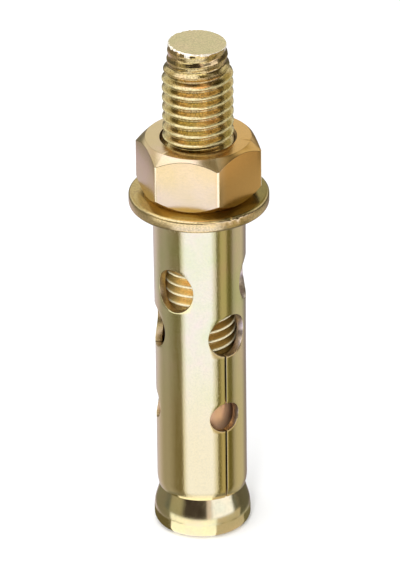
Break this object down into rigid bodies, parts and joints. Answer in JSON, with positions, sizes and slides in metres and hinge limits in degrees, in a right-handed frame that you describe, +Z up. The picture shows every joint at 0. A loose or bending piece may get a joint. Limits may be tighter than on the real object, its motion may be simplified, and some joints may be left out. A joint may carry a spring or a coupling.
{
  "type": "sleeve anchor",
  "caption": "Steel expansion anchor: threaded stud with a forged cone head, a rolled sleeve with punched holes and slits, a washer and a hexagon nut.",
  "frame": {"origin": "centre of the flat base of the cone head, on which the anchor stands", "axes": "+Z up along the stud's axis to its free threaded end; -Y is the front, +X is to its right"},
  "size_m": [0.0234, 0.0234, 0.09],
  "materials": {
    "stud": "zinc plated, yellow passivated, satin",
    "sleeve": "zinc plated, yellow passivated, bright",
    "washer": "zinc plated, yellow passivated, satin",
    "nut": "zinc plated, yellow passivated, satin"
  },
  "bodies": {
    "stud": {"stud": "stud"},
    "sleeve": {"sleeve": "sleeve", "washer": "washer"},
    "nut": {"nut": "nut"}
  },
  "joints": [
    {"name": "sleeve_slide", "type": "slide", "parent": "stud", "child": "sleeve", "axis": [0, 0, 1], "range_m": [0, 0.01663]},
    {"name": "nut_turn", "type": "hinge", "parent": "sleeve", "child": "nut", "pos_m": [0, 0, 0.0676], "axis": [0, 0, 1], "range_deg": [0, 3420]}
  ],
  "couplings": [
    {"joint": "nut_turn", "follows": "sleeve_slide", "rad_per_m": 3590.4}
  ]
}
